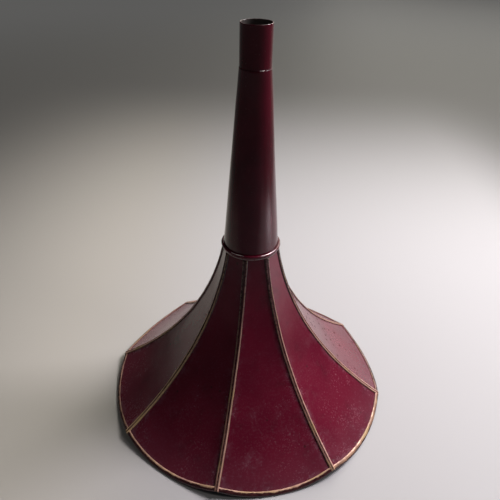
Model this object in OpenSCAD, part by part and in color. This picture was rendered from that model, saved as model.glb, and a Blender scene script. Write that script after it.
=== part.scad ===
// Petalled gramophone horn, standing on its bell. Eight bent sheet petals meet at folded seam
// strips and end in a bound rim; a collar with a bead ring carries the conical neck and the tip.
// +Z runs up the horn's axis, and the plane that the rim rests on is z = 0.

/* [Overall] */
// Height from the rest plane to the open end of the tip
overall_h = 388; // [350:1:430]
// Clearance of each piece that slides into another
fit = 0.1; // [0.05:0.05:0.2]

/* [Bell] */
// Width of the bell over two opposite seam corners
bell_across = 300; // [270:1:330]
// How far the middle of a petal's edge lies inside the circle through the corners
rim_bow = 1.2; // [0.4:0.1:4]
// Height of the bead ring's middle above the rest plane
bell_h = 190; // [170:1:210]
// Radius to which the outer face of each petal is bent along its length
flare_r = 270; // [240:1:320]
// Thickness of the petal sheet
sheet_t = 0.5; // [0.3:0.1:1]

/* [Seam strips] */
// Width of a seam strip, over both of its folds
seam_w = 5; // [3:0.1:8]
// Height of a seam strip above the petals
seam_t = 1.2; // [0.8:0.1:2]
// Width of the groove between the two folds of a strip
groove_w = 1.2; // [0.6:0.1:2]
// Depth of that groove
groove_depth = 0.6; // [0.3:0.1:0.7]
// Distance from the collar to the upper end of a strip
seam_gap = 0.8; // [0.3:0.1:3]

/* [Rim binding] */
// Width of the binding, from its outer edge inwards
rim_w = 3.6; // [2.5:0.1:6]
// Thickness of the binding's lips and of its outer wall
rim_t = 1; // [0.6:0.1:1.5]
// Depth of the flats on which the binding stands
rest_flat = 0.5; // [0.2:0.1:0.6]

/* [Collar and bead] */
// Thickness of the collar round the neck
collar_t = 1; // [0.8:0.1:2]
// Thickness of the collar at the corners of its eight-sided pocket
collar_edge = 0.5; // [0.4:0.1:0.8]
// Distance from the bead's middle down to the collar's lower edge
collar_drop = 3.4; // [2.5:0.1:6]
// Distance from the bead's middle down to the shoulder that carries the neck
shoulder_drop = 0.6; // [0.2:0.1:1.5]
// Diameter of the bead's round section
bead_d = 3; // [2:0.1:4]
// How far the middle of that section lies inside the collar's wall
bead_sink = 0.3; // [0:0.1:0.6]

/* [Neck] */
// Outer diameter of the neck at its lower end
neck_d = 52.6; // [46:0.2:60]
// Thickness of the neck's sheet
neck_t = 0.5; // [0.3:0.1:1]
// Width of the lap along the back of the neck
lap_w = 5; // [3:0.5:8]
// Distance from the lap's ends to the bead and to the neck's upper end
lap_end = 1; // [0.5:0.5:5]

/* [Tip] */
// Outer diameter of the tip tube
tip_d = 26; // [22:0.2:30]
// Length of the tip tube above the neck
tip_len = 33.5; // [20:0.5:45]
// Thickness of the tip tube
tip_t = 0.6; // [0.5:0.1:1.2]
// Step in radius down to the lower end of the tip tube, which slides into the neck
tip_step = 0.3; // [0.2:0.1:0.4]
// Length of that end inside the neck
tip_inside = 10; // [5:1:20]
// Height of the solder fillet between the tip and the neck's upper edge
solder_h = 0.6; // [0.3:0.1:0.8]

/* [Hidden] */
$fn = 96;
petal_count = 8;
pitch = 360 / petal_count;
half = pitch / 2;

// Plan of the rim: one arc over each petal, through both corners and the middle of the edge
bell_r = bell_across / 2;
rim_mid = bell_r - rim_bow;
rim_arc_x = (bell_r ^ 2 - rim_mid ^ 2) / (2 * (bell_r * cos(half) - rim_mid));
rim_arc_r = rim_mid - rim_arc_x;

// Collar and neck
neck_r = neck_d / 2;
collar_r = neck_r + fit + collar_t;
collar_low = bell_h - collar_drop;
collar_top = bell_h + bead_d / 2 - fit;
shoulder = bell_h - shoulder_drop;
pocket_r = collar_r - collar_edge;

// Tip
tip_r = tip_d / 2;
spigot_r = tip_r - tip_step;
neck_top = overall_h - tip_len;
neck_top_r = spigot_r + fit + neck_t;

// Centre of the flare, in a petal's middle plane as [distance from the axis, height]. The petals'
// outer face meets the collar's pocket, and the binding's under face dips below the rest plane.
throat = [pocket_r * cos(half) - fit, collar_low];
rim_foot = [rim_mid, -rest_flat];
under_r = flare_r + sheet_t + rim_t;
chord = norm(throat - rim_foot);
along = (throat - rim_foot) / chord;
across = [along.y, -along.x];
foot_run = (chord ^ 2 + under_r ^ 2 - flare_r ^ 2) / (2 * chord);
flare_c = rim_foot + foot_run * along + sqrt(under_r ^ 2 - foot_run ^ 2) * across;

// Upper ends of the petals and of the seam strips
petal_top = shoulder - fit;
seam_top = collar_low - seam_gap;

maroon = "#5c1524";
gilt = "#94744a";
dark_maroon = "#3a0d18";
tin = "#8d8078";

PLAIN_NODES = ["tip_tube", "tip_solder", "neck_cone", "neck_bead", "throat_collar"];

// Layer of the flare between two heights above the petals' outer face, curved in one direction
// only, for a petal that is centred on +X
module flare_layer(low, high, top) {
    rotate([90, 0, 0])
        linear_extrude(height = bell_across, center = true)
            intersection() {
                translate(flare_c)
                    difference() {
                        circle(r = flare_r - low);
                        circle(r = flare_r - high);
                    }
                square([bell_r + rim_t, top]);
            }
}

// Everything inside the rim's arc over the petal on +X, or inside a parallel arc
module rim_plan(inset) {
    translate([rim_arc_x, 0, 0])
        cylinder(r = rim_arc_r - inset, h = bell_h);
}

// Sector of one petal, with its sides moved in by a distance
module sector(inset) {
    side = bell_across * tan(half);
    translate([inset / sin(half), 0, 0])
        linear_extrude(height = bell_h)
            polygon([[0, 0], [bell_across, -side], [bell_across, side]]);
}

module petal(i) {
    color(maroon)
        rotate([0, 0, pitch * (i - 1)])
            intersection() {
                flare_layer(-sheet_t, 0, petal_top);
                sector(0);
                rim_plan(rim_t);
            }
}

// One side of a seam strip: a layer on the petal to that side of the plane y = 0, between two
// distances from the plane
module seam_fold(side, low, high, near, far) {
    intersection() {
        rotate([0, 0, side * half])
            intersection() {
                flare_layer(low, high, seam_top);
                rim_plan(0);
            }
        translate([0, side > 0 ? near : -far, 0])
            cube([bell_across, far - near, bell_h]);
    }
}

module seam_strip(i) {
    groove_floor = seam_t - groove_depth;
    color(gilt)
        rotate([0, 0, pitch * (i - 0.5)])
            union() {
                for (side = [-1, 1]) {
                    seam_fold(side, 0, groove_floor, 0, seam_w / 2);
                    seam_fold(side, 0, seam_t, groove_w / 2, seam_w / 2);
                }
            }
}

module rim_binding(i) {
    color(gilt)
        rotate([0, 0, pitch * (i - 1)])
            difference() {
                intersection() {
                    flare_layer(-sheet_t - rim_t, rim_t, petal_top);
                    sector(seam_w / 2);
                    rim_plan(0);
                }
                rim_plan(rim_w);
                intersection() {
                    flare_layer(-sheet_t, 0, petal_top);
                    rim_plan(rim_t);
                }
            }
}

module throat_collar() {
    color(maroon)
        difference() {
            translate([0, 0, collar_low])
                cylinder(r = collar_r, h = collar_top - collar_low);
            translate([0, 0, shoulder])
                cylinder(r = neck_r + fit, h = bead_d);
            rotate([0, 0, half])
                cylinder(r = pocket_r, h = shoulder, $fn = petal_count);
        }
}

module neck_bead() {
    color(maroon)
        rotate_extrude()
            difference() {
                translate([collar_r - bead_sink, bell_h])
                    circle(d = bead_d);
                translate([0, collar_low])
                    square([collar_r, collar_drop + bead_d]);
            }
}

// Solid cone with the neck's taper, grown outwards by a distance
module neck_taper(grow) {
    translate([0, 0, shoulder])
        cylinder(r1 = neck_r + grow, r2 = neck_top_r + grow, h = neck_top - shoulder);
}

module neck_cone() {
    lap_low = bell_h + bead_d / 2 + lap_end;
    color(dark_maroon)
        difference() {
            union() {
                neck_taper(0);
                intersection() {
                    neck_taper(neck_t);
                    translate([-lap_w / 2, 0, lap_low])
                        cube([lap_w, neck_d, neck_top - lap_end - lap_low]);
                }
            }
            neck_taper(-neck_t);
        }
}

// The tube stands on the solder, and its thinner lower end slides into the neck
module tip_tube() {
    color(dark_maroon)
        translate([0, 0, neck_top])
            difference() {
                union() {
                    translate([0, 0, solder_h])
                        cylinder(r = tip_r, h = tip_len - solder_h);
                    translate([0, 0, -tip_inside])
                        cylinder(r = spigot_r, h = tip_inside + solder_h + tip_t);
                }
                translate([0, 0, -tip_inside])
                    cylinder(r = tip_r - tip_t, h = tip_inside + tip_len);
            }
}

module tip_solder() {
    color(tin)
        rotate_extrude()
            translate([0, neck_top])
                polygon([[spigot_r, 0], [neck_top_r, 0], [tip_r, solder_h], [spigot_r, solder_h]]);
}

tip_tube();
tip_solder();
neck_cone();
neck_bead();
throat_collar();
for (i = [1 : petal_count]) {
    petal(i);
    seam_strip(i);
    rim_binding(i);
}
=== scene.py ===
import math
from functools import partialmethod

import bpy
from mathutils import Matrix, Vector, noise


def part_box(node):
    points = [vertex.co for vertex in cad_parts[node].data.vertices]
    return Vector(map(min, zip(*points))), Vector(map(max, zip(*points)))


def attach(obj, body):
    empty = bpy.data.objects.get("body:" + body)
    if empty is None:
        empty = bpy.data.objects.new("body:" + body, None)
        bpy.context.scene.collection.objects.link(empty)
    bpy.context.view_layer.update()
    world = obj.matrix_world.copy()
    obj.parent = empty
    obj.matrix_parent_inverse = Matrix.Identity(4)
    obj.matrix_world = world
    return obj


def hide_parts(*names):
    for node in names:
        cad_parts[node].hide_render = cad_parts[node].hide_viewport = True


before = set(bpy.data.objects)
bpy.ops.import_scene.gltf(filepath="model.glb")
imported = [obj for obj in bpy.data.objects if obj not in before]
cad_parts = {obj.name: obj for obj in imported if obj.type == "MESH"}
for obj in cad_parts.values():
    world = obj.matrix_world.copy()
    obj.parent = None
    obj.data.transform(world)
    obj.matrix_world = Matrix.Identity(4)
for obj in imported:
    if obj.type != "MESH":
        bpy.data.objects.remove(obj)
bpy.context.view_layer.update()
print("frame loaded:", len(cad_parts), "nodes")


# A node socket that takes part in Python expressions: each operation adds its node
class Wire:
    def __init__(self, tree, socket=None):
        self.tree = tree
        self.socket = socket

    # Adds a node of any type, with the values or links of its sockets, and its settings
    def make(self, kind, sockets=None, settings=None, out=0):
        node = self.tree.nodes.new(kind)
        for name, value in (settings or {}).items():
            setattr(node, name, value)
        for key, value in (sockets or {}).items():
            if isinstance(value, Wire):
                self.tree.links.new(value.socket, node.inputs[key])
            else:
                node.inputs[key].default_value = value
        return Wire(self.tree, node.outputs[out] if len(node.outputs) else None)

    # A Math node on this wire, with other wires or numbers after it
    def apply(self, operation, *others):
        values = dict(enumerate((self, *others)))
        return self.make("ShaderNodeMath", values, {"operation": operation})

    # The same with a number before it
    def applyAfter(self, operation, number):
        return self.make("ShaderNodeMath", {0: number, 1: self}, {"operation": operation})

    __add__ = partialmethod(apply, "ADD")
    __radd__ = partialmethod(applyAfter, "ADD")
    __sub__ = partialmethod(apply, "SUBTRACT")
    __rsub__ = partialmethod(applyAfter, "SUBTRACT")
    __mul__ = partialmethod(apply, "MULTIPLY")
    __rmul__ = partialmethod(applyAfter, "MULTIPLY")
    __truediv__ = partialmethod(apply, "DIVIDE")
    __pow__ = partialmethod(apply, "POWER")
    __abs__ = partialmethod(apply, "ABSOLUTE")
    cosine = partialmethod(apply, "COSINE")
    sine = partialmethod(apply, "SINE")
    root = partialmethod(apply, "SQRT")
    sign = partialmethod(apply, "SIGN")
    over = partialmethod(apply, "GREATER_THAN")
    atMost = partialmethod(apply, "MINIMUM")
    atLeast = partialmethod(apply, "MAXIMUM")

    # The geometry after a node that takes it in
    def through(self, kind, sockets, settings=None):
        return self.make(kind, {"Geometry": self, **sockets}, settings)

    # 0 at the first value, 1 at the second, eased in between
    def ease(self, start, end):
        sockets = {"Value": self, "From Min": start, "From Max": end}
        return self.make("ShaderNodeMapRange", sockets, {"interpolation_type": "SMOOTHSTEP"})

    def parts(self):
        node = self.make("ShaderNodeSeparateXYZ", {0: self}).socket.node
        return [Wire(self.tree, socket) for socket in node.outputs]

    def vector(self, x, y, z):
        return self.make("ShaderNodeCombineXYZ", {0: x, 1: y, 2: z})

    def noise(self, scale, detail=2.0, rough=0.5):
        sockets = {"Vector": self, "Scale": scale, "Detail": detail, "Roughness": rough}
        return self.make("ShaderNodeTexNoise", sockets)

    # Distance to the nearest of scattered points, and a value of that point's own
    def scatter(self, scale):
        spots = self.make("ShaderNodeTexVoronoi", {"Vector": self, "Scale": scale})
        chance = Wire(self.tree, spots.socket.node.outputs["Color"]).parts()[0]
        return spots, chance

    # The first colour where this mask is 0, the second where it is 1. Sockets 6 and 7 of a Mix
    # node are its colours, and output 2 is the mixed one.
    def between(self, first, second):
        return self.make("ShaderNodeMix", {0: self, 6: first, 7: second}, {"data_type": "RGBA"}, 2)

    # This colour, with the other one where the mask is 1
    def under(self, mask, colour):
        return mask.between(self, colour)


def colour(red, green, blue):
    return (red, green, blue, 1.0)


mm = 0.001
petalCount = 8
pitch = math.tau / petalCount
half = pitch / 2
sharpFold = math.radians(50)  # faces that meet at more than this keep a sharp edge

# Sizes that several pieces share, read from the frame where a box gives them
bell = {
    "across": 300 * mm,  # over two opposite corners
    "flare": 270 * mm,  # bend of a petal's outer face along its length
    "sheet": 0.5 * mm,
    "rimWall": 1 * mm,  # of the rim, outside the petal's edge and under the sheet
    "restFlat": 0.5 * mm,  # depth of the flats that it stands on
    "pocketWall": 0.5 * mm,  # of the collar, at the corners of its eight-sided pocket
    "slip": 0.1 * mm,  # room round a piece that slides into another
}
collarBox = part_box("throat_collar")
bell["middle"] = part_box("rim_binding_1")[1].x
bell["top"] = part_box("petal_1")[1].z
bell["collarLow"] = collarBox[0].z
bell["pocketR"] = collarBox[1].x - bell["pocketWall"]
cornerR = bell["across"] / 2

# Arc of the rim over one petal, as the place of its centre and its radius
rimX = (cornerR ** 2 - bell["middle"] ** 2) / (2 * (cornerR * math.cos(half) - bell["middle"]))
rimR = bell["middle"] - rimX


# Centre of a petal's bend: its face passes the collar's pocket, and the rim's under side dips
# a little below the floor before it is flattened there
def flareCentre():
    throat = Vector((bell["pocketR"] * math.cos(half) - bell["slip"], bell["collarLow"]))
    rimFoot = Vector((bell["middle"], -bell["restFlat"]))
    underR = bell["flare"] + (bell["sheet"] + bell["rimWall"])
    chord = (throat - rimFoot).length
    along = (throat - rimFoot) / chord
    run = (chord ** 2 + underR ** 2 - bell["flare"] ** 2) / (2 * chord)
    away = Vector((along.y, -along.x))
    return rimFoot + run * along + math.sqrt(underR ** 2 - run ** 2) * away


flareX, flareZ = flareCentre()


# A material, and the wire of a place on the object
def newFinish(name):
    finish = bpy.data.materials.new(name)
    finish.use_nodes = True
    finish.node_tree.nodes.clear()
    return finish, Wire(finish.node_tree).make("ShaderNodeTexCoord", out="Object")


def surface(place, sockets):
    return place.make("ShaderNodeBsdfPrincipled", sockets)


def closeFinish(shader):
    shader.make("ShaderNodeOutputMaterial", {"Surface": shader})


# Surface with the look's own bump and gloss
def worked(look, tone, rough, relief, metal=0.0):
    sockets = {"Height": relief, "Strength": look["bump"], "Distance": look["bumpDepth"]}
    normal = relief.make("ShaderNodeBump", sockets)
    return surface(tone, {"Base Color": tone, "Roughness": rough, "Metallic": metal,
                          "IOR": look["ior"], "Normal": normal})


def attributes(place, *names):
    kind = "ShaderNodeAttribute"
    return [place.make(kind, None, {"attribute_name": name}, "Fac") for name in names]


petalPaint = {
    "deep": colour(0.100, 0.0048, 0.0165),
    "warm": colour(0.134, 0.0064, 0.0218),
    "dust": colour(0.21, 0.108, 0.138),
    "grime": colour(0.022, 0.007, 0.008),
    "chip": colour(0.018, 0.011, 0.009),
    "rust": colour(0.034, 0.012, 0.009),
    "gloss": 0.15,  # roughness of the clean paint
    "rustRough": 0.9,
    "ior": 1.48,
    "bump": 0.35,
    "bumpDepth": 0.12 * mm,
    "dustHeights": (0.13, 0.015),  # dust gathers below the first and is thickest at the second
    "mostDust": 0.6,
    "strokes": (900, 26, 10),  # rubs to the metre across a petal, along it and upwards
    # Distances from the rim or a seam at which each begins, and is full
    "reach": {
        "film": (45 * mm, 4 * mm),
        "foot": (9 * mm, 3 * mm),
        "corner": (9 * mm, 2.5 * mm),
        "rimChip": (14 * mm, 3 * mm),
        "seamChip": (7 * mm, 3 * mm),
    },
    # Waves or cells of each pattern to the metre
    "scale": {
        "cloud": 16, "fine": 420, "smear": 70, "grime": 48, "corner": 120, "foot": 95,
        "speck": 420, "fleck": 190, "cluster": 34, "grain": 480, "rubPatch": 30,
        "pit": 120, "pitEdge": 900, "chip": 260, "rust": 150, "rustPatch": 38,
    },
}


def makePetalPaint(look):
    finish, place = newFinish("maroonPaint")
    scale, reach = look["scale"], look["reach"]
    height = place.parts()[2]
    seamGap, rimGap, across, rusty = attributes(place, "seamGap", "rimGap", "across", "rust")

    cloud = place.noise(scale["cloud"], 3).ease(0.32, 0.68)
    fine = place.noise(scale["fine"], 3, 0.6)
    smear = place.noise(scale["smear"], 4, 0.62)
    low = height.ease(*look["dustHeights"])
    mostlyLow = 0.3 + 0.7 * low

    # Dust lies on the flatter lower part, and in the corners beside seams and rim
    film = smear.ease(0.52, 0.82) * (0.04 + 0.1 * low) + 0.09 * rimGap.ease(*reach["film"])
    corner = seamGap.ease(*reach["corner"]) * place.noise(scale["corner"], 3).ease(0.38, 0.64)
    corner = corner * mostlyLow
    foot = rimGap.ease(*reach["foot"]) * place.noise(scale["foot"], 3).ease(0.42, 0.66)
    spots, chance = place.scatter(scale["speck"])
    speck = spots.ease(0.34, 0.12) * chance.ease(0.5, 1.0) * mostlyLow
    flecks, fleckChance = place.scatter(scale["fleck"])
    cluster = place.noise(scale["cluster"], 3).ease(0.4, 0.62)
    fleck = flecks.ease(0.26, 0.1) * fleckChance.over(0.45) * cluster * (0.15 + 0.85 * low)
    grain = place.noise(scale["grain"], 5, 0.75).ease(0.48, 0.7) * mostlyLow * (0.5 + 0.5 * cluster)
    dust = film + 0.26 * corner + 0.18 * foot + 0.15 * speck + 0.1 * fleck + 0.24 * grain
    dust = dust.atMost(look["mostDust"])

    # Fine rubs that run roughly up and down a petal
    wide, long, tall = look["strokes"]
    strokes = place.vector(across * wide, rimGap * long, height * tall).noise(1.0, 2)
    rub = strokes.ease(0.71, 0.79) * place.noise(scale["rubPatch"], 2).ease(0.5, 0.62)

    # Round pits, and chips that are most frequent near the edges
    pits, pitChance = place.scatter(scale["pit"])
    ragged = place.noise(scale["pitEdge"], 2).ease(0.3, 0.5)
    pit = pits.ease(0.2, 0.1) * pitChance.over(0.92) * ragged
    nearEdge = (rimGap.ease(*reach["rimChip"]) + seamGap.ease(*reach["seamChip"])).atMost(1)
    chip = (place.noise(scale["chip"], 4, 0.65) + 0.16 * nearEdge).ease(0.79, 0.83)

    # Dull dots of rust that break through the gloss
    dots, dotChance = place.scatter(scale["rust"])
    patch = place.noise(scale["rustPatch"], 2).ease(0.40, 0.50)
    rust = dots.ease(0.30, 0.16) * dotChance.over(0.45) * patch * rusty

    grime = 0.35 * place.noise(scale["grime"], 5, 0.65).ease(0.52, 0.8)
    tone = cloud.between(look["deep"], look["warm"])
    tone = tone.under(grime, look["grime"])
    tone = tone.under(dust, look["dust"])
    tone = tone.under(0.22 * rub, look["dust"])
    tone = tone.under((pit + chip).atMost(1) * 0.6, look["chip"])

    rough = look["gloss"] + 0.09 * cloud + 0.3 * dust + 0.12 * rub + 0.2 * chip
    relief = 0.22 * fine + 0.5 * dust - 1.2 * (pit + chip) - 0.5 * rub
    paint = worked(look, tone, rough, relief)
    bare = surface(place, {"Base Color": look["rust"], "Roughness": look["rustRough"],
                           "Specular IOR Level": 0.0})
    closeFinish(paint.make("ShaderNodeMixShader", {0: 0.9 * rust, 1: paint, 2: bare}))
    return finish


turnedPaint = {
    "deep": colour(0.046, 0.0024, 0.0074),
    "warm": colour(0.068, 0.0034, 0.0108),
    "collarDeep": colour(0.066, 0.0034, 0.0108),
    "collarWarm": colour(0.09, 0.0044, 0.0145),
    "dust": colour(0.15, 0.075, 0.085),
    "chip": colour(0.016, 0.011, 0.009),
    "inside": colour(0.045, 0.036, 0.031),
    "band": colour(0.21, 0.125, 0.125),
    "metal": colour(0.66, 0.56, 0.55),
    "gloss": 0.08,
    "mostDust": 0.5,
    "mostMetal": 0.6,
    "ior": 1.45,
    "bump": 0.3,
    "bumpDepth": 0.1 * mm,
    "drawn": 0.07,  # how much the streaks are drawn out along the axis
    "scale": {
        "cloud": 26, "fine": 500, "smear": 60, "speck": 420, "streak": 240, "rubPatch": 34,
        "band": 420, "nick": 700, "chip": 330,
    },
}


# Glossier paint of the neck, the tip, the collar and the bead. The attribute worn bares the metal
# at
# their edges: real wear, and also a painted highlight where it is set on the lip's lit side and the
# bead's glints. band is 1 on the gilt line round the collar, and inner 1 on unpainted inner walls.
def makeTurnedPaint(name, look, deep, warm):
    finish, place = newFinish(name)
    scale = look["scale"]
    worn, inner, band = attributes(place, "worn", "inner", "band")
    band = band * place.noise(scale["band"], 3).ease(0.3, 0.5)
    cloud = place.noise(scale["cloud"], 3).ease(0.3, 0.7)
    x, y, z = place.parts()
    streak = place.vector(x, y, z * look["drawn"]).noise(scale["streak"], 3, 0.6)
    spots, chance = place.scatter(scale["speck"])
    speck = spots.ease(0.3, 0.12) * chance.ease(0.7, 1.0)
    smear = place.noise(scale["smear"], 4, 0.6).ease(0.56, 0.8)
    dust = (0.08 * smear + 0.2 * speck).atMost(look["mostDust"])
    rub = streak.ease(0.66, 0.76) * place.noise(scale["rubPatch"], 2).ease(0.5, 0.64)
    # nick bares pale metal: partly real wear, partly a painted highlight
    nick = (worn + 0.55 * place.noise(scale["nick"], 3) - 0.55).ease(0.15, 0.4)
    chip = (place.noise(scale["chip"], 4, 0.65) + 0.1 * worn).ease(0.79, 0.83)

    tone = cloud.between(look[deep], look[warm])
    tone = tone.under(dust, look["dust"])
    tone = tone.under(0.15 * rub, look["dust"])
    tone = tone.under(0.8 * chip, look["chip"])
    tone = tone.under(band, look["band"])
    tone = tone.under(inner, look["inside"])
    tone = tone.under(nick, look["metal"])

    rough = look["gloss"] + 0.05 * cloud + 0.28 * dust + 0.1 * rub + 0.2 * chip + 0.25 * nick
    rough = rough + 0.25 * band + 0.4 * inner
    relief = 0.15 * place.noise(scale["fine"], 3, 0.6) + 0.4 * dust - chip - 0.4 * rub
    metal = (0.6 * nick + 0.3 * band).atMost(look["mostMetal"])
    closeFinish(worked(look, tone, rough, relief, metal))
    return finish


gilding = {
    "bright": colour(0.80, 0.46, 0.38),
    "gold": colour(0.36, 0.175, 0.125),
    "brass": colour(0.44, 0.29, 0.135),
    "palesheen": colour(0.86, 0.60, 0.28),
    "old": colour(0.165, 0.074, 0.053),
    "channel": colour(0.045, 0.015, 0.014),
    "bare": colour(0.034, 0.008, 0.010),
    "worn": colour(0.065, 0.018, 0.020),
    "gloss": 0.28,
    "ior": 1.45,
    "bump": 0.4,
    "bumpDepth": 0.15 * mm,
    "scale": {"cloud": 85, "grain": 1500, "chips": 330, "rubbed": 150, "yellow": 36},
}


# Bronze paint on the folds. The attribute gilt is 1 where the gilding lies thick; where it is lower
# the tone darkens towards the channel's. crest marks the ridge tops, whose bright tone is partly
# worn-bright gilding and partly a painted highlight, and the pale attribute makes the gilding
# paler: pale gilding, and on the left seam a painted sheen.
def makeGilding(look):
    finish, place = newFinish("gildedFold")
    scale = look["scale"]
    gilt, crest, palesheen = attributes(place, "gilt", "crest", "palesheen")
    cloud = place.noise(scale["cloud"], 3).ease(0.3, 0.7)
    grain = place.noise(scale["grain"], 2, 0.6)
    chips = place.noise(scale["chips"], 4, 0.62)
    rubbed = place.noise(scale["rubbed"], 3).ease(0.44, 0.62)
    yellow = place.noise(scale["yellow"], 2).ease(0.5, 0.62)
    shown = (gilt * 1.25 + chips - 0.78).ease(-0.05, 0.3)

    tone = cloud.between(look["old"], look["gold"])
    # The bright tone on the crests is partly worn-bright gilding and partly a painted highlight
    tone = tone.under(crest * (0.55 + 0.45 * rubbed), look["bright"])
    tone = tone.under(0.8 * yellow, look["brass"])
    # The pale tone: pale gilding, and on the left seam a painted sheen
    tone = tone.under(palesheen * (0.6 + 0.4 * rubbed), look["palesheen"])
    tone = tone.under(0.4 * grain.ease(0.55, 0.75), look["old"])
    tone = tone.under(0.85 * (1 - gilt), look["channel"])
    bare = chips.ease(0.4, 0.6).between(look["bare"], look["worn"])
    tone = bare.under(shown, tone)

    rough = look["gloss"] + shown * (0.22 * grain + 0.12 * (1 - rubbed)) - 0.08 * (1 - shown)
    relief = 0.5 * shown + 0.25 * grain + 0.35 * chips
    metal = shown * (0.08 + 0.16 * rubbed)
    closeFinish(worked(look, tone, rough, relief, metal))
    return finish


solderLook = {
    "paint": colour(0.04, 0.0024, 0.007),
    "tin": colour(0.76, 0.68, 0.65),
    "dull": colour(0.30, 0.25, 0.23),
    "gloss": 0.5,
    "ior": 1.2,
    "bump": 0.35,
    "bumpDepth": 0.12 * mm,
    "scale": {"grain": 900, "lumps": 260},
}


# Mostly painted over, bright tin in short stretches, which is partly rubbed metal and partly a
# painted highlight
def makeSolderLook(look):
    finish, place = newFinish("solderRubAndGlint")
    scale = look["scale"]
    # The bright tin mask: partly rubbed metal, partly a painted highlight
    rubbed = attributes(place, "worn")[0]
    grain = place.noise(scale["grain"], 3, 0.6)
    tin = grain.ease(0.35, 0.65).between(look["dull"], look["tin"])
    shown = (rubbed + 0.4 * grain - 0.2).ease(0.4, 0.6)
    tone = tin.under(1 - shown, look["paint"])
    rough = look["gloss"] + 0.2 * grain - 0.3 * shown
    relief = grain + place.noise(scale["lumps"], 2)
    closeFinish(worked(look, tone, rough, relief, 0.9 * shown))
    return finish


finishes = {
    "petal": makePetalPaint(petalPaint),
    "neck": makeTurnedPaint("neckPaint", turnedPaint, "deep", "warm"),
    "collar": makeTurnedPaint("collarPaint", turnedPaint, "collarDeep", "collarWarm"),
    "gilt": makeGilding(gilding),
    "solder": makeSolderLook(solderLook),
}
print("finishes made:", ", ".join(finishes))


# A Geometry Nodes tree with named inputs: whole numbers, lengths and shares, and the material
def newTree(name, counts, amounts):
    kinds = {**dict.fromkeys(counts, "Int"), **dict.fromkeys(amounts, "Float")}
    kinds["Material"] = "Material"
    tree = bpy.data.node_groups.new(name, "GeometryNodeTree")
    tree.interface.new_socket("Geometry", in_out="OUTPUT", socket_type="NodeSocketGeometry")
    for label, kind in kinds.items():
        tree.interface.new_socket(label, in_out="INPUT", socket_type="NodeSocket" + kind)
    entry = tree.nodes.new("NodeGroupInput")
    return tree, {label: Wire(tree, entry.outputs[label]) for label in kinds}


# Keeps the values on the points, turns these about the axis and puts them in place, and smooths
# the faces between sharp edges
def closeTree(shape, spot, given, values):
    x, y, z = spot
    cosT, sinT = given["Turn"].cosine(), given["Turn"].sine()
    kept = {"data_type": "FLOAT", "domain": "POINT"}
    for name, value in values.items():
        sockets = {"Name": name, "Value": value}
        shape = shape.through("GeometryNodeStoreNamedAttribute", sockets, kept)
    place = shape.vector(x * cosT - y * sinT, x * sinT + y * cosT, z)
    shape = shape.through("GeometryNodeSetPosition", {"Position": place})
    shape = shape.through("GeometryNodeSetShadeSmooth", {"Shade Smooth": True}, {"domain": "FACE"})
    fold = shape.make("GeometryNodeInputMeshEdgeAngle").over(sharpFold)
    sockets = {"Selection": fold, "Shade Smooth": False}
    shape = shape.through("GeometryNodeSetShadeSmooth", sockets, {"domain": "EDGE"})
    shape = shape.through("GeometryNodeRealizeInstances", {})
    shape = shape.through("GeometryNodeSetMaterial", {"Material": given["Material"]})
    shape.through("NodeGroupOutput", {})


def addObject(name, data):
    item = bpy.data.objects.new(name, data)
    bpy.context.scene.collection.objects.link(item)
    return item


# Runs a tree once with the values given and keeps the result as a plain mesh
def grow(name, tree, values):
    piece = addObject(name, bpy.data.meshes.new(name))
    grower = piece.modifiers.new("grow", "NODES")
    grower.node_group = tree
    for item in tree.interface.items_tree:
        if item.in_out == "INPUT":
            grower[item.identifier] = values[item.name]
    ready = bpy.context.evaluated_depsgraph_get()
    made = bpy.data.meshes.new_from_object(
        piece.evaluated_get(ready), preserve_all_data_layers=True, depsgraph=ready)
    piece.modifiers.clear()
    piece.data = made
    made.name = name
    return piece


def settle(piece, slot, *nodes):
    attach(piece, "root")
    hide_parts(*nodes)


# Grows one piece for each petal, or for each seam half a pitch further on. A tree's inputs have
# the names of the look's values, and a tuple there holds one number for each piece.
def growRing(label, node, slot, tree, look, material, start=0):
    names = [item.name for item in tree.interface.items_tree if item.name.lower() in look]
    seedStep, seedStart = look["seeds"]
    for index in range(1, petalCount + 1):
        values = {name: look[name.lower()] for name in names}
        for name, value in values.items():
            values[name] = value[index - 1] if isinstance(value, tuple) else value
        values["Turn"] = pitch * (index - 1 + start)
        values["Seed"] = seedStep * index + seedStart
        values["Material"] = material
        piece = grow(f"{label}{index}", tree, values)
        settle(piece, slot, f"{node}_{index}")


# Block of points over one piece: the block itself, and three wires from -0.5 to 0.5
def pointBlock(given):
    sockets = {"Size": (1, 1, 1), "Vertices Z": 2,
               "Vertices X": given["Along"], "Vertices Y": given["Across"]}
    block = given["Along"].make("GeometryNodeMeshCube", sockets)
    return block, block.make("GeometryNodeInputPosition").parts()


# Noise from -1 to 1
def evenNoise(spot, scale, detail):
    return 2 * spot.noise(scale, detail) - 1


# Angle on the bend for a distance from the axis, or for a height
def bendAtReach(reach):
    return ((flareX - reach) / bell["flare"]).apply("ARCCOSINE")


def bendAtHeight(height):
    return math.asin((flareZ - height) / bell["flare"])


# Point on the bend, raised above the petal's face: distance from the axis, and height
def onBend(bend, lift):
    radius = bell["flare"] - lift
    return flareX - radius * bend.cosine(), flareZ - radius * bend.sine()


petalSheet = {
    "along": 101,  # points along a petal, and across it
    "across": 45,
    "dent": 0.55 * mm,  # depth of the soft waves in the sheet
    "ripple": 0.10 * mm,  # finer unevenness
    "scale": {"dent": 17, "ripple": 55},
    "seamCalm": (1.5 * mm, 10 * mm),  # distances over which both begin
    "rimCalm": (2 * mm, 20 * mm),
    "topCalm": (1, 0.85),  # and the same as shares of the way up to the collar
    "seeds": (1.7, 0),  # step from piece to piece, and start
    "rust": (0.9, 0.7, 0.4, 0.6, 0.1, 0.0, 0.0, 0.1),  # share of the rust dots on each petal
}


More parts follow.
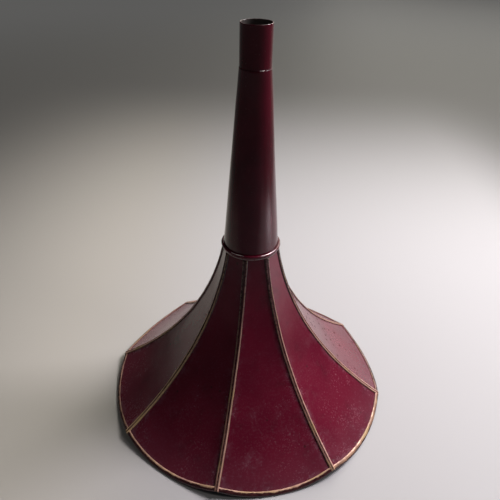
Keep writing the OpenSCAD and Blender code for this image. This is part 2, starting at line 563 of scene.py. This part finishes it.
def makePetalTree(look):
    amounts = ["Dent", "Ripple", "Rust", "Turn", "Seed"]
    tree, given = newTree("petalTree", ["Along", "Across"], amounts)
    block, (px, py, pz) = pointBlock(given)
    up = 0.5 - px
    aside = py * (2 * half)
    slope = aside.apply("TANGENT")
    edgeR = rimR - bell["rimWall"]
    wide = 1 + slope * slope
    reach = (rimX + (rimX ** 2 - wide * (rimX ** 2 - edgeR ** 2)).root()) / wide
    rimBend = bendAtReach(reach)
    bend = rimBend + (bendAtHeight(bell["top"]) - rimBend) * up
    face, _ = onBend(bend, 0)
    side = face * slope
    seamGap = face * math.sin(half) - abs(side) * math.cos(half)
    rimGap = (rimBend - bend) * bell["flare"]

    # Soft waves of hand-worked sheet, still at the seams, the rim and the collar
    spot = side.vector(side, rimGap, given["Seed"])
    calm = seamGap.ease(*look["seamCalm"]) * rimGap.ease(*look["rimCalm"])
    calm = calm * up.ease(*look["topCalm"])
    wave = given["Dent"] * evenNoise(spot, look["scale"]["dent"], 1)
    wave = wave + given["Ripple"] * evenNoise(spot, look["scale"]["ripple"], 1)
    lift = (pz - 0.5) * bell["sheet"] + wave * calm
    out, height = onBend(bend, lift)
    closeTree(block, (out, out * slope, height), given,
              {"seamGap": seamGap, "rimGap": rimGap, "across": side, "rust": given["Rust"]})
    return tree


growRing("petalSheet", "petal", "bell_paint", makePetalTree(petalSheet), petalSheet,
         finishes["petal"])
print("petals made:", petalCount)


seamFold = {
    "along": 181,  # points along a strip, and across it
    "across": 41,
    "width": 5 * mm,
    "height": 1.2 * mm,
    "groove": 0.65 * mm,  # height of the channel's floor between the two folds
    "channel": 0.24,  # its share of the width
    "channelSteps": 0.25,  # and of the steps across
    "fullness": 0.83,  # below 1 the folds are fuller than round
    "sink": 0.25 * mm,  # depth of the under side in the sheet
    "endDrop": 1.15 * mm,  # how far the outer end folds down over the rim
    "endReach": (3.4 * mm, 2.2 * mm),  # distances from the edge over which it does
    "noseLength": 1.6 * mm,  # of the rounding at the outer end
    "tailLength": 0.8 * mm,  # and at the upper end
    "collarGap": 0.8 * mm,
    "noiseLength": 0.22,  # about the strip's own length, for the noise along it
    "uneven": 0.16,
    "sway": 0.5 * mm,  # how far the strip strays to the sides
    "swayEnds": (0.06, 0.9),  # shares of the way up between which it does so fully
    "filled": 0.5,  # how far the groove is filled where the folds run together
    "scale": {"uneven": 60, "sway": 28, "filled": 45},
    "lane": {"uneven": 3, "sway": 9, "filled": 5},  # rows of the noise that each is read from
    "seeds": (2.3, 0.4),
    "unshaded": (0.4, 0.4, 0.4, 0.5, 0.9, 0.0, 0.0, 0.6),  # share of the lit fold's painted light that the other fold keeps on each seam; below 1 that fold is painted in shade
    "palesheen": (0.1, 0.2, 0.2, 0.1, 0.85, 0.1, 0.0, 0.1),  # how pale each one's gilding is; on the left seam the pale tone is mostly a painted sheen
}


def makeSeamTree(look):
    amounts = ["Width", "Height", "Groove", "Uneven", "Unshaded", "PaleSheen", "Turn", "Seed"]
    tree, given = newTree("seamTree", ["Along", "Across"], amounts)
    scale, lane = look["scale"], look["lane"]
    block, (px, py, pz) = pointBlock(given)
    up = 0.5 - 0.5 * (math.pi * (0.5 - px)).cosine()  # closer steps at both ends
    away = abs(py) * 2
    floorSteps = look["channelSteps"]
    fold = (away - floorSteps).atLeast(0) * (math.pi / (1 - floorSteps))  # pi at the outer edge
    swing = fold.cosine()
    bulge = fold.sine().atLeast(0) ** look["fullness"]
    way = py.sign()
    inner = swing.over(0)

    run = up * look["noiseLength"]
    seed = given["Seed"]
    wander = run.vector(run, way * lane["uneven"], seed)
    thick = 1 + given["Uneven"] * evenNoise(wander, scale["uneven"], 3)
    sway = look["sway"] * evenNoise(run.vector(run, lane["sway"], seed), scale["sway"], 2)
    swayLow, swayHigh = look["swayEnds"]
    # The two folds run together in places, where the groove is filled
    filled = run.vector(run, lane["filled"], seed).noise(scale["filled"], 2).ease(0.55, 0.75)
    filled = filled * look["filled"]
    floor = given["Groove"] + (given["Height"] - given["Groove"]) * filled

    halfWidth = given["Width"] * 0.5 * thick
    channel = look["channel"]
    gap = channel * (away * (1 / floorSteps)).atMost(1) + (1 - channel) * 0.5 * (1 - swing)
    gap = gap * halfWidth
    offset = way * gap + sway * (1 - up.ease(swayHigh, 1)) * up.ease(0, swayLow)
    ridge = given["Height"] * thick * bulge + floor * (1 - bulge) * inner

    apart = abs(offset)
    reach = cornerR * math.cos(half) + apart * math.sin(half)
    rimBend = bendAtReach(reach)
    topBend = bendAtHeight(bell["collarLow"] - look["collarGap"])
    bend = rimBend + (topBend - rimBend) * up
    fromRim = (rimBend - bend) * bell["flare"]
    fromTop = (bend - topBend) * bell["flare"]
    nose = (1 - fromRim / look["noseLength"]).atLeast(0)
    tail = (1 - fromTop / look["tailLength"]).atLeast(0)
    rounded = (1 - nose * nose).atLeast(0) ** 0.5 * (1 - tail * tail).atLeast(0) ** 0.5
    under = -look["sink"] - look["endDrop"] * fromRim.ease(*look["endReach"])
    lift = under + (ridge * rounded - under) * (pz + 0.5)
    out, height = onBend(bend, lift)
    x = (out - apart * math.sin(half)) / math.cos(half)

    # The fold towards the lamps is painted lighter, with more gilding and a brighter crest, and the
    # other fold darker: painted light and shade on the two folds
    over = (0.5 + 0.5 * way).atLeast(given["Unshaded"])
    # crest is a bright tone along the ridge tops: partly worn-bright gilding, partly a painted
    # highlight, weaker towards the collar
    crest = (0.95 - 0.6 * up) * (0.2 + 0.8 * over) * (ridge / given["Height"]).ease(0.75, 1.0)
    # Towards the collar the gilding narrows to the ridge tops and fades
    gilt = 0.42 - 0.34 * up + 0.58 * bulge.ease(0.35 + 0.45 * up, 0.95)
    gilt = gilt * (0.66 + 0.34 * over) * (1 - 0.45 * up.ease(0.45, 0.95)) * pz.over(0)
    palesheen = given["PaleSheen"] * (1 - 0.6 * up) * bulge
    closeTree(block, (x, offset, height.atLeast(0)), given,
              {"crest": crest, "gilt": gilt, "palesheen": palesheen})
    return tree


growRing("seamFold", "seam_strip", "gilt_paint", makeSeamTree(seamFold), seamFold,
         finishes["gilt"], start=0.5)
print("seams made:", petalCount)


rimRoll = {
    "along": 140,  # steps along a length, and round it
    "around": 32,
    "width": 3.6 * mm,
    "above": 1.0 * mm,  # over the petal's face
    "below": 1.5 * mm,  # under it, with the sheet's thickness
    "tuck": 2.1 * mm,  # distance of its ends from the seam's middle plane
    "fullness": 0.8,  # below 1 its section is squarer than round
    "uneven": 0.12,
    "scale": {"uneven": 16, "edge": 12, "fringe": 70, "bright": 22, "palesheen": 9},
    "lane": {"uneven": 4, "ragged": 7},
    "seeds": (3.1, 0),
    "kept": (0.45, 0.45, 0.5, 0.5, 0.5, 1.0, 1.0, 0.85),  # share of the gilding left on each length
    "palesheen": (0.0, 0.1, 0.1, 0.1, 0.2, 0.5, 0.3, 0.25),  # and how pale it still is
    "spread": (0.0, 0.0, 0.0, 0.0, 0.0, 0.0, 0.0, 0.6),  # how far it reaches past its bright stripe
}


def makeRimTree(look):
    amounts = ["Width", "Above", "Below", "Uneven", "Kept", "PaleSheen", "Spread", "Turn", "Seed"]
    tree, given = newTree("rimTree", ["Along", "Around"], amounts)
    scale, lane = look["scale"], look["lane"]
    sockets = {"Vertices": given["Around"], "Side Segments": given["Along"],
               "Radius": 1, "Depth": 2}
    tube = given["Turn"].make("GeometryNodeMeshCylinder", sockets, {"fill_type": "NGON"})
    px, py, pz = tube.make("GeometryNodeInputPosition").parts()
    ring = py.apply("ARCTAN2", px)
    cosR, sinR = ring.cosine(), ring.sine()
    # Slightly square section, as of a folded and hammered edge
    wideR = cosR.sign() * abs(cosR) ** look["fullness"]
    highR = sinR.sign() * abs(sinR) ** look["fullness"]
    corner = math.atan2(cornerR * math.sin(half), cornerR * math.cos(half) - rimX)
    sweep = corner - look["tuck"] / rimR
    turn = pz * -sweep
    wander = turn.vector(turn, lane["uneven"], given["Seed"])
    thick = 1 + given["Uneven"] * evenNoise(wander, scale["uneven"], 3)
    inset = given["Width"] * 0.5 * (1 - wideR * (0.5 + 0.5 * thick))
    middle = (given["Above"] - given["Below"]) * 0.5
    lift = middle + (given["Above"] + given["Below"]) * 0.5 * highR * thick
    radius = rimR - inset
    out = rimX + radius * turn.cosine()
    side = radius * turn.sine()
    bendR = bell["flare"] - lift
    inward = flareX - out
    height = flareZ - (bendR * bendR - inward * inward).root()

    # Only the inner half of its top is gilt, to an uneven edge
    ragged = turn.vector(turn, lane["ragged"], given["Seed"])
    stripe = 1.3 * (ragged.noise(scale["edge"], 2) - 0.5)
    stripe = stripe + 0.8 * (ragged.noise(scale["fringe"], 2) - 0.5) - 0.1
    bright = given["Kept"] * (0.45 + 0.55 * ragged.noise(scale["bright"], 3).ease(0.38, 0.58))
    # crest: the brightest part of the stripe along the roll's top, partly worn-bright gilding and
    # partly a painted highlight
    crest = sinR.ease(0.1, 0.6) * (stripe - cosR).ease(-0.1, 0.2) * bright
    gilt = sinR.ease(-0.2, 0.1) * (stripe + given["Spread"] - cosR).ease(-0.2, 0.1) * given["Kept"]
    palesheen = given["PaleSheen"] * ragged.noise(scale["palesheen"], 2).ease(0.3, 0.6)
    closeTree(tube, (out, side, height.atLeast(0)), given,
              {"crest": crest, "gilt": gilt, "palesheen": palesheen})
    return tree


growRing("rimRoll", "rim_binding", "gilt_paint", makeRimTree(rimRoll), rimRoll,
         finishes["gilt"])
print("rim made:", petalCount, "lengths")


# Closed outline of a turned piece with its corners rounded and its long sides divided. A corner
# may have a radius of its own as its third number.
def roundedOutline(corners, radius, longest, steps=4, most=0.45):
    points = []
    count = len(corners)
    for index, (x, z, *own) in enumerate(corners):
        here = Vector((x, z))
        before = Vector(corners[index - 1][:2]) - here
        after = Vector(corners[(index + 1) % count][:2]) - here
        size = min(own[0] if own else radius, before.length * most, after.length * most)
        first, last = here + before.normalized() * size, here + after.normalized() * size
        for step in range(steps + 1):
            way = step / steps
            points.append(first * (1 - way) ** 2 + here * 2 * way * (1 - way) + last * way ** 2)
    whole = []
    for index, point in enumerate(points):
        following = points[(index + 1) % len(points)]
        pieces = max(1, math.ceil((following - point).length / longest))
        whole += [point.lerp(following, piece / pieces) for piece in range(pieces)]
    return whole


# Turns an outline about the axis. An angle may depend on the radius. shift gives a point's change
# of radius and of height, and each of the marks is kept on the points as an attribute.
def turned(name, outline, angles, material, shift, **marks):
    count, size = len(angles), len(outline)
    points, marked = [], {mark: [] for mark in marks}
    for turn in angles:
        for radius, height in outline:
            angle = turn(radius) if callable(turn) else turn
            out, rise = shift(angle, radius, height)
            reach = radius + out
            points.append((reach * math.cos(angle), reach * math.sin(angle), height + rise))
            for mark, value in marks.items():
                marked[mark].append(float(value(angle, radius, height)))
    faces = []
    for step in range(count):
        here, there = step * size, (step + 1) % count * size
        for index in range(size):
            other = (index + 1) % size
            faces.append((here + index, there + index, there + other, here + other))
    mesh = bpy.data.meshes.new(name)
    mesh.from_pydata(points, [], faces)
    for mark, values in marked.items():
        mesh.attributes.new(mark, "FLOAT", "POINT").data.foreach_set("value", values)
    mesh.polygons.foreach_set("use_smooth", [True] * len(faces))
    mesh.set_sharp_from_angle(angle=sharpFold)
    mesh.materials.append(material)
    mesh.validate()
    return addObject(name, mesh)


def evenAngles(count):
    return [math.tau * step / count for step in range(count)]


# Outline of a piece whose corners are the names of a radius and a height in its dictionary
def outlineOf(look):
    corners = [(look[radius], look[height], *own) for radius, height, *own in look["corners"]]
    return roundedOutline(corners, look["rounding"], look["longest"])


# Turns a piece's own outline in even steps
def evenlyTurned(name, look, material, shift, **marks):
    return turned(name, outlineOf(look), evenAngles(look["steps"]), material, shift, **marks)


# Angle between two directions round the axis
def angleGap(first, second):
    return abs((first - second + math.pi) % math.tau - math.pi)


# Noise that closes round the axis: broad waves that also change upwards, or finer ones
def ripple(angle, height, scale, seed, waves=1.3):
    return noise.noise((math.cos(angle) * waves, math.sin(angle) * waves + seed, height * scale))


def roundNoise(angle, scale, seed):
    return noise.noise((math.cos(angle) * scale, math.sin(angle) * scale, seed))


def eased(value, start, end):
    way = min(max((value - start) / (end - start), 0), 1)
    return way * way * (3 - 2 * way)


neckBox, tipBox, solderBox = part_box("neck_cone"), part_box("tip_tube"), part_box("tip_solder")
neckCone = {
    "plainSteps": 150,
    "lapSteps": 8,
    "low": neckBox[0].z,
    "high": neckBox[1].z,
    "lowR": neckBox[1].x,
    "highR": solderBox[1].x,
    "sheet": 0.5 * mm,
    "skin": 0.3 * mm,  # points deeper than this lie on the inner wall
    "lapWidth": 5 * mm,
    "lapEdge": 0.2 * mm,  # width of the slope at each of its sides
    "lapEnd": 0.6 * mm,  # and length of the one at each of its ends
    "lapMargin": 0.05 * mm,  # points closer than this to its side aren't raised
    "lapLow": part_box("neck_bead")[1].z + 1 * mm,
    "lapHigh": neckBox[1].z - 1 * mm,
    "uneven": 0.14 * mm,
    "unevenNoise": (22, 0.0),  # scale and seed
    "calm": (3 * mm, 25 * mm),  # distances from both ends over which the unevenness begins
    "innerLowR": neckBox[1].x - 0.5 * mm,
    "innerHighR": solderBox[1].x - 0.5 * mm,
    "corners": (("lowR", "low"), ("highR", "high"), ("innerHighR", "high"), ("innerLowR", "low")),
    "rounding": 0.15 * mm,
    "longest": 2.2 * mm,
}


# Angles round the neck, with two close steps at each edge of the lap, which keeps its width
def lapAngles(look):
    side, plain, across = look["lapWidth"] / 2, look["plainSteps"], look["lapSteps"]
    flat = side - look["lapEdge"]

    def onLap(distance):
        return lambda radius: math.pi / 2 + math.asin(distance / radius)

    def beside(way):
        def angle(radius):
            lapTurn = math.asin(side / radius)
            return math.pi / 2 - lapTurn - way * (math.tau - 2 * lapTurn)
        return angle

    steps = [onLap(flat - flat * 2 * step / across) for step in range(across + 1)]
    rest = [beside(step / plain) for step in range(plain + 1)]
    return list(reversed(steps + rest))


# Outer radius of the cone at a height
def neckSkin(height):
    taper = (height - neckCone["low"]) / (neckCone["high"] - neckCone["low"])
    return neckCone["lowR"] + (neckCone["highR"] - neckCone["lowR"]) * taper


def neckInner(angle, radius, height):
    return radius < neckSkin(height) - neckCone["skin"]


def neckShift(angle, radius, height):
    if neckInner(angle, radius, height):
        return 0, 0
    low, high, lapEnd = neckCone["low"], neckCone["high"], neckCone["lapEnd"]
    near, away = neckCone["calm"]
    free = eased(height, low + near, low + away)
    free *= eased(height, high - near, high - away)
    change = neckCone["uneven"] * free * ripple(angle, height, *neckCone["unevenNoise"])
    lapSide = neckCone["lapWidth"] / 2 - neckCone["lapMargin"]
    onLap = math.sin(angle) > 0 and abs(radius * math.cos(angle)) < lapSide
    ends = eased(height, neckCone["lapLow"], neckCone["lapLow"] + lapEnd)
    ends *= eased(height, neckCone["lapHigh"], neckCone["lapHigh"] - lapEnd)
    return change + onLap * ends * neckCone["sheet"], 0


neck = turned("neckSheet", outlineOf(neckCone), lapAngles(neckCone), finishes["neck"], neckShift,
              inner=neckInner)
settle(neck, "neck_paint", "neck_cone")

tipTube = {
    "steps": 144,
    "low": tipBox[0].z,
    "seat": solderBox[1].z,
    "high": tipBox[1].z,
    "outerR": tipBox[1].x,
    "innerR": tipBox[1].x - 0.6 * mm,
    "spigotR": tipBox[1].x - 0.3 * mm,  # of the end that slides into the neck
    "uneven": 0.10 * mm,
    "unevenNoise": (60, 4.0),
    "calm": 2 * mm,  # above the solder, where the unevenness begins
    "lipDepth": 1.2 * mm,  # of the lip that is bent in and nicked
    "lipIn": 0.06 * mm,
    "nick": 0.22 * mm,
    "nickNoise": (5, 2.2),
    "nickFrom": 0.12,  # the noise above this makes nicks
    "wornNoise": (4, 7.0),
    "skin": 0.05 * mm,  # points closer than this to the bore lie on it
    "bareEdge": (0.7 * mm, 0.15 * mm),  # depths below the end where bare metal begins, and is full
    "rubGlintAngle": math.radians(-55),  # where the lip is bared most: wear, and a painted highlight on its lit side
    "rubGlintSpan": math.radians(110),
    "corners": (("outerR", "seat"), ("outerR", "high", 0.28 * mm), ("innerR", "high", 0.28 * mm),
                ("innerR", "low"), ("spigotR", "low"), ("spigotR", "seat")),
    "rounding": 0.15 * mm,
    "longest": 1.2 * mm,
}


def tipShift(angle, radius, height):
    lip = eased(height, tipTube["high"] - tipTube["lipDepth"], tipTube["high"])
    dip = max(0, roundNoise(angle, *tipTube["nickNoise"]) - tipTube["nickFrom"])
    free = eased(height, tipTube["seat"] + tipTube["calm"], tipTube["high"])
    out = tipTube["uneven"] * ripple(angle, height, *tipTube["unevenNoise"]) * free
    return out - tipTube["lipIn"] * lip, -tipTube["nick"] * 2 * dip * lip


# Bare metal at the lip, most towards the lit side: partly wear and partly a painted highlight
def tipWearAndGlint(angle, radius, height):
    begin, full = tipTube["bareEdge"]
    lip = eased(height, tipTube["high"] - begin, tipTube["high"] - full)
    gap = angleGap(angle, tipTube["rubGlintAngle"])
    most = 1 - eased(gap, 0.1 * tipTube["rubGlintSpan"], 0.5 * tipTube["rubGlintSpan"])
    return lip * (0.18 + 0.26 * most + 0.3 * roundNoise(angle, *tipTube["wornNoise"]))


def tipInner(angle, radius, height):
    return radius < tipTube["innerR"] + tipTube["skin"]


tip = evenlyTurned("tipTube", tipTube, finishes["neck"], tipShift, worn=tipWearAndGlint, inner=tipInner)
settle(tip, "neck_paint", "tip_tube")

# Fillet from the tube's wall to the neck's upper edge
solderFillet = {
    "steps": 180,
    "low": solderBox[0].z,
    "high": solderBox[1].z,
    "innerR": tipTube["spigotR"],
    "lowR": neckCone["highR"],
    "highR": tipTube["outerR"],
    "corners": (("innerR", "low"), ("lowR", "low"), ("highR", "high"), ("innerR", "high")),
    "uneven": 0.08 * mm,
    "unevenNoise": (5, 1.0),
    "inset": 0.04 * mm,
    "skin": 0.1 * mm,  # points deeper than this stay in place
    "rubGlintAngle": math.radians(-78),  # where it is bright tin: partly rubbed by hands, partly a painted highlight
    "rubGlintSpan": math.radians(22),
    "rounding": 0.08 * mm,
    "longest": 0.15 * mm,
}


def solderWearAndGlint(angle, radius, height):
    gap = angleGap(angle, solderFillet["rubGlintAngle"])
    return 1 - eased(gap, 0.3 * solderFillet["rubGlintSpan"], 0.5 * solderFillet["rubGlintSpan"])


def solderShift(angle, radius, height):
    if radius < solderFillet["highR"] - solderFillet["skin"]:
        return 0, 0
    change = solderFillet["uneven"] * roundNoise(angle, *solderFillet["unevenNoise"])
    return change - solderFillet["inset"], 0


fillet = evenlyTurned("solderFillet", solderFillet, finishes["solder"], solderShift,
                      worn=solderWearAndGlint)
settle(fillet, "solder", "tip_solder")

throatCollar = {
    "steps": 192,
    "low": bell["collarLow"],
    "high": collarBox[1].z,
    "outerR": collarBox[1].x,
    "socketR": neckCone["lowR"] + bell["slip"],
    "pocketR": bell["pocketR"],
    "shoulder": neckCone["low"],
    "pocketTop": neckCone["low"] - 0.05 * mm,
    "giltHeights": (0.8 * mm, 1.2 * mm),  # from the lower edge, over which the gilt line ends
    "corners": (("outerR", "low", 0.2 * mm), ("outerR", "high"), ("socketR", "high"),
                ("socketR", "shoulder"), ("pocketR", "pocketTop"), ("pocketR", "low")),
    "rounding": 0.12 * mm,
    "longest": 0.7 * mm,
    "near": 0.01 * mm,  # points closer than this count as on the pocket
}


# The lower inner face is eight-sided, to hold the petals' upper ends
def collarShift(angle, radius, height):
    pocketR, near = throatCollar["pocketR"], throatCollar["near"]
    if radius > pocketR + near or height > throatCollar["shoulder"] + near:
        return 0, 0
    turn = (angle % pitch) - half
    flat = pocketR * math.cos(half) / math.cos(half - abs(turn))
    return flat - pocketR if radius > throatCollar["socketR"] else min(0, flat - radius), 0


def collarBand(angle, radius, height):
    full, end = throatCollar["giltHeights"]
    return 1 - eased(height, throatCollar["low"] + full, throatCollar["low"] + end)


collar = evenlyTurned("collarBand", throatCollar, finishes["collar"], collarShift, band=collarBand)
settle(collar, "bell_paint", "throat_collar")

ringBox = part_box("neck_bead")
beadRing = {
    "steps": 240,
    "wireSteps": 36,
    "outerR": ringBox[1].x,
    "middle": (ringBox[0].z + ringBox[1].z) / 2,
    "wireR": 1.5 * mm,  # of its round section
    "unevenOut": 0.06 * mm,
    "unevenUp": 0.08 * mm,
    "outNoise": (5, 8.0),
    "upNoise": (5, 5.0),
    "wornNoise": (3, 3.0),
    "rubGlintAngle": math.radians(58),  # up from the outside: where its crest is bared, partly rubbed and partly a painted highlight
    "rubGlintSpan": math.radians(44),
    "rubbed": [math.radians(way) for way in (-131, -71, 40)],  # where most so, round the ring: painted highlights as rubbed metal
    "rubGlintLength": math.radians(36),
}


def ringOutline(look):
    wireR = look["wireR"]
    ringR = look["outerR"] - wireR
    return [(ringR + wireR * math.cos(way), look["middle"] + wireR * math.sin(way))
            for way in evenAngles(look["wireSteps"])]


def beadShift(angle, radius, height):
    out = beadRing["unevenOut"] * ripple(angle, height, *beadRing["outNoise"])
    return out, beadRing["unevenUp"] * ripple(angle, height, *beadRing["upNoise"])


# Bare metal along the crest and at three places round the ring: partly real wear, partly painted
# highlights set where light glints on the bead
def beadWearAndGlint(angle, radius, height):
    side = math.atan2(height - beadRing["middle"], radius - beadRing["outerR"] + beadRing["wireR"])
    crest = 1 - eased(abs(side - beadRing["rubGlintAngle"]), 0, 0.5 * beadRing["rubGlintSpan"])
    gap = min(angleGap(angle, rub) for rub in beadRing["rubbed"])
    most = 1 - eased(gap, 0.15 * beadRing["rubGlintLength"], 0.5 * beadRing["rubGlintLength"])
    return crest * (0.46 + 0.44 * most + 0.12 * roundNoise(angle, *beadRing["wornNoise"]))


ring = turned("beadRing", ringOutline(beadRing), evenAngles(beadRing["steps"]),
              finishes["collar"], beadShift, worn=beadWearAndGlint)
settle(ring, "bell_paint", "neck_bead")
print("turned pieces made: neck, tip, solder, collar, bead")


studio = {
    "floorSize": 16.0,
    "floorRough": 0.6,
    "floorGloss": 0.1,
    # The floor's tones paint light and shade: pale near the horn as a painted pool of light, warmer
    # on the left as painted light of a warmer lamp, darker behind and to the sides as painted
    # falloff, darker in front as a painted shadow, black far off
    "near": colour(0.48, 0.473, 0.47),
    "leftward": colour(0.485, 0.463, 0.415),
    "behind": colour(0.12, 0.118, 0.112),
    "before": colour(0.15, 0.152, 0.16),
    "unlit": colour(0, 0, 0),
    "ambient": colour(0.0266, 0.0274, 0.0297),  # what lights the horn from all sides
    "backdrop": colour(0.10, 0.099, 0.096),  # what the camera sees past the floor
    "glow": (0.6, 2.6),  # distances over which the floor passes into the backdrop, glowing with its tone as painted light though it is no lamp
    "turn": math.radians(12.47),
    "back": (0.2, 1.2),  # distances over which the floor's painted pool of light fades to painted shade behind the horn, in front of it, where the darker tone is a painted shadow, and to both sides
    "front": (-0.16, -0.36),  # in front of it,
    "left": (-0.2, -0.75),  # and to both sides
    "right": (0.42, 0.7),
    "slant": 0.45,  # how much further in front that begins towards the right
    "warm": (0.02, -0.24),  # distances over which it turns warmer on the left, as painted light of a warmer lamp
    "aim": (0, 0, 0.12),
}


def makeFloor(look):
    finish, place = newFinish("paleFloor")
    x, y, _ = place.parts()
    cosT, sinT = math.cos(look["turn"]), math.sin(look["turn"])
    across = x * cosT - y * sinT
    deep = x * sinT + y * cosT
    # Painted light and shade on the floor: lit is a painted pool of light round the horn, far the
    # painted falloff outside it, the front ramp a painted shadow, and the warm ramp painted light
    # of a warmer lamp
    lit = (1 - deep.ease(*look["back"])) * (1 - across.ease(*look["left"]))
    far = 1 - lit * (1 - across.ease(*look["right"]))
    slant = deep + look["slant"] * across.atLeast(0)
    around = ((x * x + y * y) ** 0.5).ease(*look["glow"])
    tone = across.ease(*look["warm"]).between(look["near"], look["leftward"])
    tone = tone.under(far, look["behind"])
    tone = tone.under(slant.ease(*look["front"]), look["before"])
    tone = tone.under(around, look["unlit"])
    # Far off, the floor glows with the backdrop's tone: painted light from a surface that is no
    # lamp
    glow = around.between(look["unlit"], look["backdrop"])
    closeFinish(surface(place, {
        "Base Color": tone, "Roughness": look["floorRough"],
        "Specular IOR Level": look["floorGloss"],
        "Emission Color": glow, "Emission Strength": 1.0}))
    mesh = bpy.data.meshes.new("floor")
    size = look["floorSize"] / 2
    corners = [(-size, -size, 0), (size, -size, 0), (size, size, 0), (-size, size, 0)]
    mesh.from_pydata(corners, [], [(0, 1, 2, 3)])
    mesh.materials.append(finish)
    floor = addObject("floor", mesh)


def makeWorld(look):
    world = bpy.data.worlds.new("studio")
    world.use_nodes = True
    world.node_tree.nodes.clear()
    seen = Wire(world.node_tree).make("ShaderNodeLightPath", out="Is Camera Ray")
    tone = seen.between(look["ambient"], look["backdrop"])
    back = tone.make("ShaderNodeBackground", {"Color": tone, "Strength": 1.0})
    back.make("ShaderNodeOutputWorld", {"Surface": back})
    bpy.context.scene.world = world


# Each lamp's place as degrees round the axis and above the floor, and its distance
lamps = {
    "keyLamp": {"around": 7.0, "above": 45, "away": 1.15, "size": 0.44, "power": 16.6,
                "tint": (1.0, 0.95, 1.02)},
    "backLamp": {"around": 47.5, "above": 30, "away": 3.6, "size": 3.2, "power": 120.0,
                 "tint": (1.0, 0.96, 0.86)},
    "fillLamp": {"around": 182.5, "above": 62, "away": 1.8, "size": 0.35, "power": 1.0,
                 "tint": (1.0, 0.97, 0.9)},
    "sideLamp": {"around": -41.5, "above": 52, "away": 1.6, "size": 0.25, "power": 1.4,
                 "tint": (1.0, 0.95, 1.0)},
    "poolLamp": {"around": 0, "above": 90, "away": 0.3, "size": 0.2, "power": 1.0,
                 "tint": (1.0, 0.90, 0.98), "aim": (0.53, -0.20, 0), "spread": 60},
}


def addLamp(name, around, above, away, size, power, tint, aim=studio["aim"], spread=180):
    lamp = bpy.data.lights.new(name, "AREA")
    lamp.shape = "SQUARE"
    lamp.size = size
    lamp.energy = power
    lamp.color = tint
    lamp.spread = math.radians(spread)
    holder = addObject(name, lamp)
    around, above = math.radians(around), math.radians(above)
    flat = math.cos(above)
    way = Vector((math.cos(around) * flat, math.sin(around) * flat, math.sin(above)))
    holder.location = Vector(aim) + away * way
    holder.rotation_euler = way.to_track_quat("Z", "Y").to_euler()
    holder.visible_camera = False


makeFloor(studio)
for name, lamp in lamps.items():
    addLamp(name, **lamp)
makeWorld(studio)
bpy.context.scene.view_settings.view_transform = "Standard"

cameraView = {
    "turn": -12.47,  # degrees round the axis, from straight in front
    "distance": 0.4186,
    "height": 0.46325,
    "pitch": 34.081,  # degrees down
    "roll": 1.468,
    "pan": -0.085,
    "lens": 37.14,
    "sensor": 36,
    "nearest": 0.01,
}


def addCamera():
    angles = ("turn", "pitch", "roll", "pan")
    turn, down, roll, pan = (math.radians(cameraView[angle]) for angle in angles)
    flat = math.cos(down)
    ahead = Vector((math.sin(pan) * flat, math.cos(pan) * flat, -math.sin(down)))
    right = Vector((math.cos(pan), -math.sin(pan), 0))
    above = right.cross(ahead)
    right, above = (math.cos(roll) * right + math.sin(roll) * above,
                    math.cos(roll) * above - math.sin(roll) * right)
    facing = Matrix((right, above, -ahead)).transposed().to_4x4()
    spot = Matrix.Translation((0, -cameraView["distance"], cameraView["height"]))
    lens = bpy.data.cameras.new("camera")
    lens.sensor_width = cameraView["sensor"]
    lens.lens = cameraView["lens"]
    lens.clip_start = cameraView["nearest"]
    camera = addObject("camera", lens)
    camera.matrix_world = Matrix.Rotation(turn, 4, "Z") @ spot @ facing
    bpy.context.scene.camera = camera


addCamera()
print("stage, lamps and camera set")
